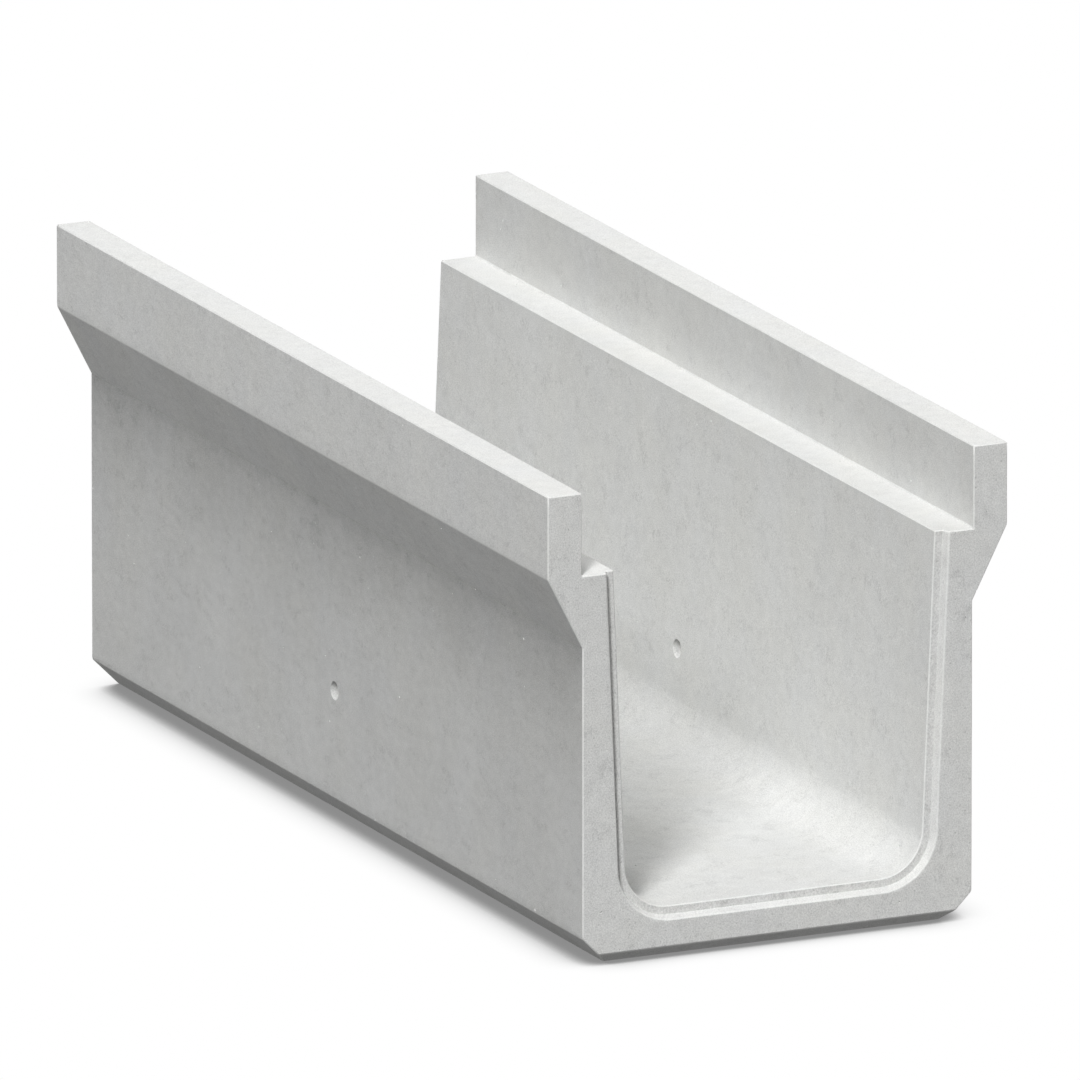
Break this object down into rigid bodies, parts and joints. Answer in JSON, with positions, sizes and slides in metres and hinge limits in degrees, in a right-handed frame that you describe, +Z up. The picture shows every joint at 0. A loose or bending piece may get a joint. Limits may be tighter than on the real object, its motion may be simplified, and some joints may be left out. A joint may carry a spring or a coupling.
{
  "type": "precast concrete U-drain channel",
  "caption": "Straight precast concrete drain channel of U section, open on top, with haunched upstands, seats for drop-in covers, weep holes through the walls and a rebated joint end.",
  "frame": {"origin": "centre of the underside, half way along the unit", "axes": "+Y along the drain towards the plain end, -Y towards the end with the joint rebate, +X across, +Z up"},
  "size_m": [0.86, 2, 0.833],
  "materials": {
    "concrete": "smooth formed concrete, light grey, with pin holes and faint vertical streaks"
  },
  "bodies": {
    "root": {"drain_channel": "concrete"}
  },
  "joints": []
}
